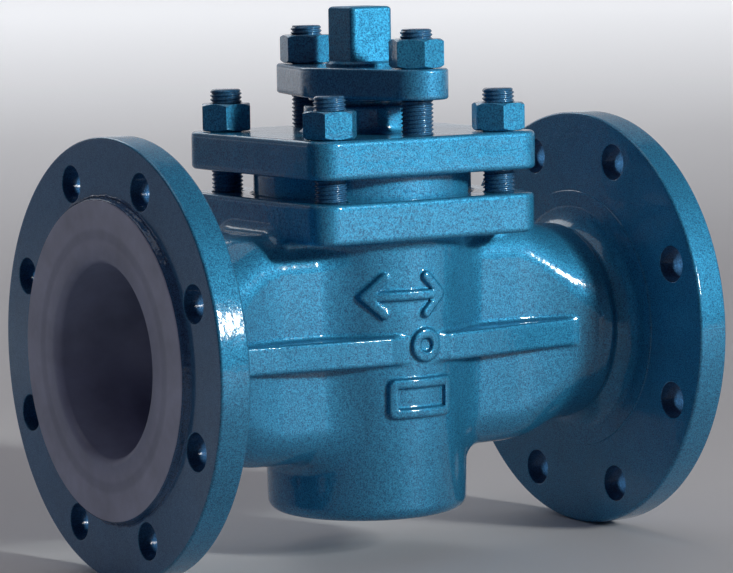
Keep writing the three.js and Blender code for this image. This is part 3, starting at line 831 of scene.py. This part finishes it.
def stem_square():
    """The square end for the wrench, with thickly painted, rounded edges."""
    rim = SQUARE_RIM
    rings = [(SQUARE_FOOT_Z - 3, 0), (SQUARE_FOOT_Z + 10, 0)]
    rings += [(STEM_TOP_Z - rim + rim * sine, rim - rim * cosine) for sine, cosine in quarter(7)]
    outlines = []
    for z, inset in rings:
        half = SQUARE_HALF - inset
        outlines.append([(y, x, z) for _, x, y in section(0, half, half, SQUARE_CORNER)])
    return lofted("square", outlines)


# ---- cover and gland

def cover_shape(x, y, z):
    """Distance to the cover before its holes are cut: plate, stuffing box and spigot."""
    half = (COVER_HIGH_Z - COVER_LOW_Z) / 2
    plate = round_common(
        rounded_rectangle(x, y, COVER_HALF, COVER_HALF, TOP_FLANGE_CORNER),
        np.abs(z - COVER_LOW_Z - half) - half,
        PLATE_ROUND,
    )
    from_axis = np.hypot(x, y)
    neck = round_common(from_axis - STUFFING_BOX_RADIUS, z - cover_high[2], 1.5)
    neck = np.maximum(neck, COVER_LOW_Z - z)
    spigot = round_common(from_axis - SPIGOT_RADIUS, cover_low[2] - z, 1.0)
    spigot = np.maximum(spigot, z - COVER_HIGH_Z + OVERLAP)
    return fillet_union(fillet_union(plate, neck, 4), spigot, 2)


def make_cover(step):
    """The cover with its stuffing box, stem way and stud holes."""
    low = (-COVER_HALF, -COVER_HALF, cover_low[2])
    high = (COVER_HALF, COVER_HALF, cover_high[2])
    cover = net_object("cover_casting", cover_shape, low, high, step)
    tools = [
        disc("spigot", SPIGOT_INNER_RADIUS, cover_low[2] - OVERSHOOT, SPIGOT_CEILING_Z),
        disc("stem_way", STEM_RADIUS + 2 * GAP, cover_low[2] - OVERSHOOT, cover_high[2] + OVERSHOOT),
        soft_hole("box", PACKING_RADIUS + GAP, PACKING_FLOOR_Z + 5.5, cover_high[2], 0.8, steps=96),
        disc("box_floor", PACKING_RADIUS + GAP, PACKING_FLOOR_Z, PACKING_FLOOR_Z + 10),
    ]
    high_z = COVER_HIGH_Z + OVERSHOOT
    for place in COVER_STUD_PLACES.values():
        tools.append(disc("stud_hole", STUD_HOLE_RADIUS, COVER_LOW_Z - OVERSHOOT, high_z, 48, place))
    for place in GLAND_STUD_PLACES.values():
        tools.append(disc("stud_hole", STUD_HOLE_RADIUS, GLAND_STUD_HOLE_LOW_Z, high_z, 48, place))
    return weighted(smooth(carved(cover, tools)))


def gland_shape(x, y, z):
    """An oval plate: a round middle and two smaller round ends with tangent sides."""
    u, v = np.abs(x), np.abs(y)
    lean = (GLAND_MIDDLE_RADIUS - GLAND_END_RADIUS) / GLAND_STUD_OFFSET
    upright = math.sqrt(1 - lean * lean)
    along = -lean * u + upright * v
    side = upright * u + lean * v - GLAND_MIDDLE_RADIUS
    middle = np.hypot(u, v) - GLAND_MIDDLE_RADIUS
    end = np.hypot(u, v - GLAND_STUD_OFFSET) - GLAND_END_RADIUS
    outline = np.where(along < 0, middle, np.where(along > upright * GLAND_STUD_OFFSET, end, side))
    half = (gland_high[2] - gland_low[2]) / 2
    return round_common(outline, np.abs(z - gland_low[2] - half) - half, GLAND_ROUND)


def make_gland(step):
    """The gland flange with its stem way and stud holes."""
    gland = net_object("gland_plate", gland_shape, gland_low, gland_high, step)
    tools = [soft_hole("way", STEM_RADIUS + 2 * GAP, gland_low[2], gland_high[2], 0.8, steps=96)]
    for place in GLAND_STUD_PLACES.values():
        tools.append(soft_hole("hole", STUD_HOLE_RADIUS, gland_low[2], gland_high[2], 0.6, centre=place))
    return weighted(smooth(carved(gland, tools)))


def make_bush():
    """The bush under the gland flange that presses on the packing."""
    inner = STEM_RADIUS + GAP
    bush = turned("gland_follower", [
        (inner, bush_low[2]),
        (PACKING_RADIUS, bush_low[2]),
        (PACKING_RADIUS, BUSH_COLLAR_Z),
        (bush_high[0], BUSH_COLLAR_Z),
        (bush_high[0], bush_high[2]),
        (inner, bush_high[2]),
        (inner, bush_low[2]),
    ], 128)
    return smooth(bevelled(bush, 0.35))


# ---- fasteners and packing

def thread_wave(turns):
    """Thread depth from 0 at the crest to 1 at the root, rounded as paint leaves it."""
    saw = np.abs((turns % 1) * 2 - 1)
    return ease(saw * 1.1 - 0.05)


def make_stud(name, node, centre):
    """A stud with a true helical thread and chamfered ends."""
    low_z, high_z = (corner[2] for corner in node_box(node))
    steps, per_pitch = 48, 10
    rows = int((high_z - low_z) / THREAD_PITCH * per_pitch)
    z = np.linspace(low_z, high_z, rows + 1)[:, None]
    angle = (np.arange(steps) / steps * 2 * math.pi)[None, :]
    radius = STUD_RADIUS - THREAD_DEPTH * thread_wave(z / THREAD_PITCH - angle / (2 * math.pi))
    from_end = np.minimum(z - low_z, high_z - z)
    rise = np.sqrt(np.maximum(from_end, 0) * STUD_CHAMFER)
    radius = np.minimum(radius, STUD_RADIUS - STUD_CHAMFER + rise)
    points = np.stack([
        centre[0] + radius * np.cos(angle),
        centre[1] + radius * np.sin(angle),
        z + 0 * angle,
    ], axis=2).reshape(-1, 3)
    faces = ring_quads(rows + 1, steps)
    faces.append(list(range(steps))[::-1])
    faces.append(list(range(rows * steps, (rows + 1) * steps)))
    return smooth(new_object(name, points, faces), 60)


def make_nut(name, node, centre, turn_degrees):
    """A hexagon nut whose corners are cut back by a cone at both ends."""
    low_z, high_z = (corner[2] for corner in node_box(node))
    flat = NUT_ACROSS_FLATS / 2
    land = flat * 0.98
    slope = math.tan(math.radians(30))
    hole = STUD_RADIUS + GAP
    per_side = 12
    points, count = [], 6 * per_side
    for i in range(count):
        angle = 2 * math.pi * i / count
        around = (angle + math.pi / 6) % (math.pi / 3) - math.pi / 6
        radius = flat / math.cos(around)
        cut = max(radius - land, 0) * slope
        heading = angle + math.radians(turn_degrees) + math.pi / 6
        for r, z in (
            (hole, low_z), (land, low_z), (radius, low_z + cut),
            (radius, high_z - cut), (land, high_z), (hole, high_z),
        ):
            points.append((centre[0] + r * math.cos(heading), centre[1] + r * math.sin(heading), z))
    faces = []
    for i in range(count):
        a, b = i * 6, (i + 1) % count * 6
        for k in range(6):
            n = (k + 1) % 6
            faces.append((a + k, b + k, b + n, a + n))
    nut = closed_object(name, points, faces)
    return weighted(smooth(bevelled(nut, 1.0, 18, 4), 50))


def make_packing_ring(index):
    low, high = node_box(f"packing_ring_{index}")
    inner = STEM_RADIUS + GAP
    ring = turned(f"packing_{index}", [
        (inner, low[2]),
        (high[0], low[2]),
        (high[0], high[2]),
        (inner, high[2]),
        (inner, low[2]),
    ], 96)
    return smooth(bevelled(ring, 0.5))


# ---- materials

def material(name):
    """A new material, with its node tree and its Principled shader's inputs."""
    made = bpy.data.materials.new(name)
    made.use_nodes = True
    return made, made.node_tree, made.node_tree.nodes["Principled BSDF"].inputs


def new_node(tree, kind, **inputs):
    """A shader node. An input, named with _ for each space, is a number or another node's output."""
    node = tree.nodes.new("ShaderNode" + kind)
    for name, value in inputs.items():
        socket = node.inputs[name.replace("_", " ")]
        if isinstance(value, bpy.types.NodeSocket):
            tree.links.new(value, socket)
        else:
            socket.default_value = value
    return node


def own_place(tree):
    """Where a point is on the piece's own shape."""
    return new_node(tree, "TexCoord").outputs["Object"]


def noise(tree, scale, detail=2.0, roughness=0.5):
    """Noise over the piece's own shape, with scale in waves per metre."""
    look = dict(Vector=own_place(tree), Scale=scale, Detail=detail, Roughness=roughness)
    return new_node(tree, "TexNoise", **look).outputs["Fac"]


def ramp(tree, value, stops):
    """The colour that the stops, (place, colour or grey level), give to a value."""
    node = new_node(tree, "ValToRGB", Fac=value)
    node.color_ramp.elements.remove(node.color_ramp.elements[1])
    for i, (place, colour) in enumerate(stops):
        element = node.color_ramp.elements[0] if i == 0 else node.color_ramp.elements.new(place)
        element.position = place
        element.color = (*colour, 1) if isinstance(colour, tuple) else (colour, colour, colour, 1)
    return node.outputs["Color"]


def bump(tree, height, strength, distance, after=None):
    """A normal tilted by height, on top of the bumps of after."""
    under = {} if after is None else {"Normal": after}
    node = new_node(tree, "Bump", Strength=strength, Distance=distance, Height=height, **under)
    return node.outputs["Normal"]


def multiplied(tree, a, b):
    node = tree.nodes.new("ShaderNodeMix")
    node.data_type = "RGBA"
    node.blend_type = "MULTIPLY"
    node.inputs[0].default_value = 1.0
    tree.links.new(a, node.inputs[6])
    tree.links.new(b, node.inputs[7])
    return node.outputs[2]


SPECKLE_SCALE, BLOTCH_SCALE, SWELL_SCALE, CLOUD_SCALE = 1500, 420, 110, 45


def hammered_paint(name, light, dark, grain=1.0, relief=1.0, coat=1.0):
    """Glossy metallic paint with a fine hammered speckle. Grain scales the speckle, relief the bumps,
    and coat is the share of clear coat."""
    made, tree, shader = material(name)
    speckle = noise(tree, SPECKLE_SCALE / grain, 2.0, 0.6)
    blotch = noise(tree, BLOTCH_SCALE / grain)
    cloud = noise(tree, CLOUD_SCALE, 3.0, 0.55)
    bright = tuple(c * 1.3 for c in light)
    spots = ramp(tree, speckle, [(0.34, dark), (0.5, light), (0.66, bright)])
    grain_tone = ramp(tree, blotch, [(0.36, (0.84, 0.87, 0.9)), (0.56, 1.0)])
    tone = ramp(tree, cloud, [(0.3, 0.88), (0.7, 1.0)])
    spots = multiplied(tree, spots, grain_tone)
    tree.links.new(multiplied(tree, spots, tone), shader["Base Color"])
    gloss = ramp(tree, speckle, [(0.35, 0.7), (0.65, 0.58)])
    tree.links.new(gloss, shader["Roughness"])
    look = {"Metallic": 0.75, "Coat Weight": coat, "Coat Roughness": 0.1, "Specular IOR Level": 0.25}
    for socket, value in look.items():
        shader[socket].default_value = value
    swell = noise(tree, SWELL_SCALE)
    fine = bump(tree, speckle, 0.5 * relief, 0.08 * MM)
    fine = bump(tree, blotch, 0.55 * relief, 0.3 * MM, fine)
    tree.links.new(bump(tree, swell, 0.4 * relief, 0.4 * MM, fine), shader["Normal"])
    film = bump(tree, blotch, 0.25 * relief, 0.3 * MM)
    tree.links.new(bump(tree, swell, 0.4 * relief, 0.4 * MM, film), shader["Coat Normal"])
    return made


def moulded_plastic(name, colour, roughness):
    """Slightly cloudy plastic with a fine grain."""
    made, tree, shader = material(name)
    cloud = noise(tree, CLOUD_SCALE, 4.0, 0.6)
    dark, light = tuple(c * 0.82 for c in colour), tuple(c * 1.1 for c in colour)
    tree.links.new(ramp(tree, cloud, [(0.3, dark), (0.7, light)]), shader["Base Color"])
    low, high = roughness - 0.07, roughness + 0.07
    gloss = ramp(tree, noise(tree, 160), [(0.3, low), (0.7, high)])
    tree.links.new(gloss, shader["Roughness"])
    tree.links.new(bump(tree, noise(tree, 700), 0.12, 0.1 * MM), shader["Normal"])
    return made


def ringed_lining_with_bore_shade(name, colour, roughness):
    """Moulded plastic whose raised face has faint darker rings around the bore, and which is darker from
    the dish inwards and darkest in the bore: painted shade of the bore.
    """
    made = moulded_plastic(name, colour, roughness)
    tree = made.node_tree
    shader = tree.nodes["Principled BSDF"].inputs
    plain = shader["Base Color"].links[0].from_socket
    flat = new_node(tree, "VectorMath", Vector=own_place(tree))
    flat.operation = "MULTIPLY"
    flat.inputs[1].default_value = (0, 1, 1)
    distance = new_node(tree, "VectorMath", Vector=flat.outputs["Vector"])
    distance.operation = "LENGTH"
    span = dict(From_Min=45 * MM, From_Max=80 * MM)
    reach = new_node(tree, "MapRange", Value=distance.outputs["Value"], **span)
    # darkest in the bore and lightening out to about 57 mm from the axis: painted shade of the bore;
    # further out, faint darker rings on the raised face
    rings = ramp(tree, reach.outputs["Result"], [
        (0.0, (0.62, 0.64, 0.72)), (0.2, (0.8, 0.82, 0.88)), (0.36, (0.95, 0.95, 0.97)),
        (0.42, (0.8, 0.81, 0.86)), (0.5, (0.84, 0.85, 0.89)), (0.56, 1.08), (1.0, 1.12),
    ])
    tree.links.new(multiplied(tree, plain, rings), shader["Base Color"])
    return made


def machined_steel(name):
    made, tree, shader = material(name)
    cloud = noise(tree, 70, 4.0, 0.6)
    tint = ramp(tree, cloud, [(0.3, (0.38, 0.39, 0.41)), (0.7, (0.55, 0.56, 0.58))])
    tree.links.new(tint, shader["Base Color"])
    gloss = ramp(tree, noise(tree, 400), [(0.3, 0.26), (0.7, 0.44)])
    tree.links.new(gloss, shader["Roughness"])
    shader["Metallic"].default_value = 1.0
    return made


LIGHT_BLUE = (0.032, 0.26, 0.46)
DARK_BLUE = (0.018, 0.125, 0.27)
body_paint = hammered_paint("body_paint", LIGHT_BLUE, DARK_BLUE)
faced_paint = hammered_paint("faced_paint", (0.085, 0.25, 0.45), (0.075, 0.21, 0.4), 1.0, 0.25)
nut_paint = hammered_paint("nut_paint", LIGHT_BLUE, DARK_BLUE, 1.2)
# a darker copy of the blue paint for the studs: painted shade of their threads and of the narrow gaps they
# stand in
shaded_thread_paint = hammered_paint("shaded_thread_paint", (0.035, 0.15, 0.29), (0.02, 0.07, 0.16), 1.2)
stem_paint = hammered_paint("stem_paint", LIGHT_BLUE, DARK_BLUE, 1.1, 0.8, 0.3)
gland_paint = hammered_paint("gland_paint", (0.04, 0.24, 0.43), DARK_BLUE, 1.2)
# the band of paint at the raised faces' rims is real paint; its darker blue than the flange face is
# painted shade on the step's side
rim_paint = hammered_paint("rim_paint", (0.04, 0.15, 0.32), (0.02, 0.06, 0.16), 0.8, 2.5)
# a darker copy of the blue paint for the bolt holes' walls: painted shade inside the holes
hole_shade_paint = hammered_paint("hole_shade_paint", (0.03, 0.11, 0.24), (0.02, 0.07, 0.16), 1.0, 1.0, 0.25)
grey_lining = ringed_lining_with_bore_shade("grey_lining", (0.4, 0.455, 0.6), 0.42)
white_lining = moulded_plastic("white_lining", (0.7, 0.7, 0.67), 0.42)
packing_yarn = moulded_plastic("packing_yarn", (0.6, 0.6, 0.55), 0.6)
steel = machined_steel("machined_steel")


# ---- pieces

def finish_piece(obj, paint, body, slot, *nodes):
    """Gives a piece its material, the body it rides and the CAD nodes it stands for, which it hides. Its
    slot is not used.
    """
    obj.data.materials.clear()
    obj.data.materials.append(paint)
    obj.data.polygons.foreach_set("material_index", np.zeros(len(obj.data.polygons), np.int32))
    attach(obj, body)
    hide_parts(*nodes)
    return obj


BODY_STEP = 0.8
PLATE_STEP = 0.8

body = finish_piece(make_body(BODY_STEP), body_paint, "valve_body", "blue_paint", "body_casting")
paint_where(body, faced_paint, on_machined_face)
# the walls of the pipe bolt holes take the darker paint: painted shade inside the holes
paint_where(body, hole_shade_paint, inside_bolt_holes)
finish_piece(make_cover(PLATE_STEP), body_paint, "valve_body", "blue_paint", "cover")
finish_piece(make_gland(PLATE_STEP), gland_paint, "gland", "blue_paint_gland", "gland_flange")
finish_piece(make_bush(), gland_paint, "gland", "blue_paint_gland", "gland_bush")
finish_piece(make_body_lining(), grey_lining, "valve_body", "lining_plastic", "body_lining")
# the run-up paint bands take the darker blue: real paint with painted shade
for name, sign in (("rim_paint_inlet", -1), ("rim_paint_outlet", 1)):
    finish_piece(make_rim_paint(name, sign), rim_paint, "valve_body", "blue_paint")
finish_piece(make_plug_lining(), white_lining, "plug", "seal_plastic", "plug_lining")
finish_piece(make_plug(), stem_paint, "plug", "stem_steel", "plug_core")


COVER_NUT_TURNS = {"left_front": 48.5, "right_front": 6.8, "right_back": 38, "left_back": 0}
GLAND_NUT_TURNS = {"front": 14, "back": 16}
for corner, place in COVER_STUD_PLACES.items():
    node = f"cover_stud_{corner}"
    stud = make_stud(f"stud_{corner}", node, place)
    # the cover studs take the darker paint: painted shade
    finish_piece(stud, shaded_thread_paint, "valve_body", "blue_paint_fasteners", node)
    node = f"cover_nut_{corner}"
    nut = make_nut(f"nut_{corner}", node, place, COVER_NUT_TURNS[corner])
    finish_piece(nut, nut_paint, "valve_body", "blue_paint_fasteners", node)

for name, place in GLAND_STUD_PLACES.items():
    node = f"gland_stud_{name}"
    stud = make_stud(f"long_stud_{name}", node, place)
    # the gland studs take the darker paint: painted shade
    finish_piece(stud, shaded_thread_paint, "valve_body", "blue_paint_fasteners", node)
    node = f"gland_nut_{name}"
    nut = make_nut(f"long_stud_nut_{name}", node, place, GLAND_NUT_TURNS[name])
    finish_piece(nut, nut_paint, "gland", "blue_paint_gland", node)

for index in range(1, 5):
    ring = finish_piece(
        make_packing_ring(index), packing_yarn, "valve_body", "packing_plastic", f"packing_ring_{index}",
    )
    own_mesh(ring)

for name, look in (
    ("top_seal", white_lining),
    ("metal_diaphragm", steel),
    ("thrust_ring", steel),
    ("packing_spacer", steel),
):
    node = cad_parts[name]
    node.data.materials.clear()
    node.data.materials.append(look)


# ---- studio

FLOOR_Z = CAD_BOX[0][2]
WALL_GLOW = [(0.0, 0.0), (0.1, 0.2), (0.22, 0.62), (0.27, 0.55), (0.34, 0.25), (0.6, 0.12)]


def make_floor():
    """A pale floor that bends up into a backdrop, which glows softly a little above the horizon."""
    made, tree, shader = material("floor")
    cloud = noise(tree, 3, 3.0)
    pale = ramp(tree, cloud, [(0.3, (0.60, 0.61, 0.63)), (0.7, (0.63, 0.64, 0.66))])
    tree.links.new(pale, shader["Base Color"])
    shader["Roughness"].default_value = 0.7
    height = new_node(tree, "SeparateXYZ", Vector=own_place(tree)).outputs["Z"]
    rise = new_node(tree, "MapRange", Value=height, From_Min=FLOOR_Z, From_Max=FLOOR_Z + 1)
    glow = ramp(tree, rise.outputs["Result"], WALL_GLOW)
    tree.links.new(glow, shader["Emission Strength"])
    shader["Emission Color"].default_value = (0.93, 0.96, 1.0, 1)
    mesh = bpy.data.meshes.new("floor")
    reach, front, back, top, bend = 9.0, -4.0, 2.2, 2.6, 0.9
    outline = [(front, FLOOR_Z), (back - bend, FLOOR_Z)]
    for sine, cosine in quarter(16)[1:]:
        outline.append((back - bend + bend * sine, FLOOR_Z + bend - bend * cosine))
    outline.append((back, top))
    direction = Vector((math.sin(CAMERA_YAW), math.cos(CAMERA_YAW)))
    across = Vector((direction.y, -direction.x))
    points = []
    for along, z in outline:
        for side in (-reach, reach):
            point = direction * along + across * side
            points.append((point.x, point.y, z))
    faces = [(2 * i, 2 * i + 1, 2 * i + 3, 2 * i + 2) for i in range(len(outline) - 1)]
    mesh.from_pydata(points, [], faces)
    mesh.materials.append(made)
    smooth(linked("floor", mesh))


def new_light(name, kind, place, target, power, colour):
    """A light at place, in metres, that points at target."""
    data = bpy.data.lights.new(name, kind)
    data.energy = power
    data.color = colour
    light = linked(name, data)
    light.location = place
    light.rotation_euler = (Vector(target) - Vector(place)).to_track_quat("-Z", "Y").to_euler()
    return light


def area_light(name, place, size, power, colour=(1, 1, 1)):
    """A rectangular soft light that points at the middle of the valve."""
    light = new_light(name, "AREA", place, (0, 0, 0), power, colour)
    light.data.shape = "RECTANGLE"
    light.data.size, light.data.size_y = size
    light.visible_camera = False


def spot_light(name, place, target, cone_degrees, power, colour):
    light = new_light(name, "SPOT", place, target, power, colour)
    light.data.spot_size = math.radians(cone_degrees)
    light.data.spot_blend = 1.0
    light.data.shadow_soft_size = 0.18


CAMERA_PLACE = (-0.9354, -1.4697, 0.2105)
CAMERA_YAW = math.radians(32.52)
CAMERA_PITCH = math.radians(6.06)
CAMERA_ROLL = math.radians(-0.91)
CAMERA_LENS = 171.3


def make_camera():
    """The camera, turned by its yaw, its pitch downwards and its roll."""
    forward = Vector((
        math.sin(CAMERA_YAW) * math.cos(CAMERA_PITCH),
        math.cos(CAMERA_YAW) * math.cos(CAMERA_PITCH),
        -math.sin(CAMERA_PITCH),
    ))
    level = Vector((math.cos(CAMERA_YAW), -math.sin(CAMERA_YAW), 0))
    up = level.cross(forward)
    right = math.cos(CAMERA_ROLL) * level + math.sin(CAMERA_ROLL) * up
    up = right.cross(forward)
    turn = Matrix((right, up, -forward)).transposed().to_4x4()
    data = bpy.data.cameras.new("camera")
    data.lens = CAMERA_LENS
    data.sensor_width = 36
    camera = linked("camera", data)
    camera.matrix_world = Matrix.Translation(CAMERA_PLACE) @ turn
    bpy.context.scene.camera = camera


make_camera()
make_floor()
KEY_PLACE = (1.18, -2.60, 1.02)
area_light("key", KEY_PLACE, (0.34, 0.55), 50, colour=(1.0, 0.98, 0.93))
area_light("top", (-0.2, 0.3, 1.8), (1.6, 1.2), 4)
area_light("back", (0.35, 2.1, 1.3), (1.2, 1.2), 8)
spot_light("upper", KEY_PLACE, (0, 0, 0.185), 7.6, 560, (0.9, 1.0, 0.94))

world = bpy.data.worlds.new("studio")
bpy.context.scene.world = world
world.use_nodes = True
background = world.node_tree.nodes["Background"]
background.inputs["Color"].default_value = (0.97, 0.72, 1.0, 1)
background.inputs["Strength"].default_value = 0.058
bpy.context.scene.view_settings.view_transform = "Standard"
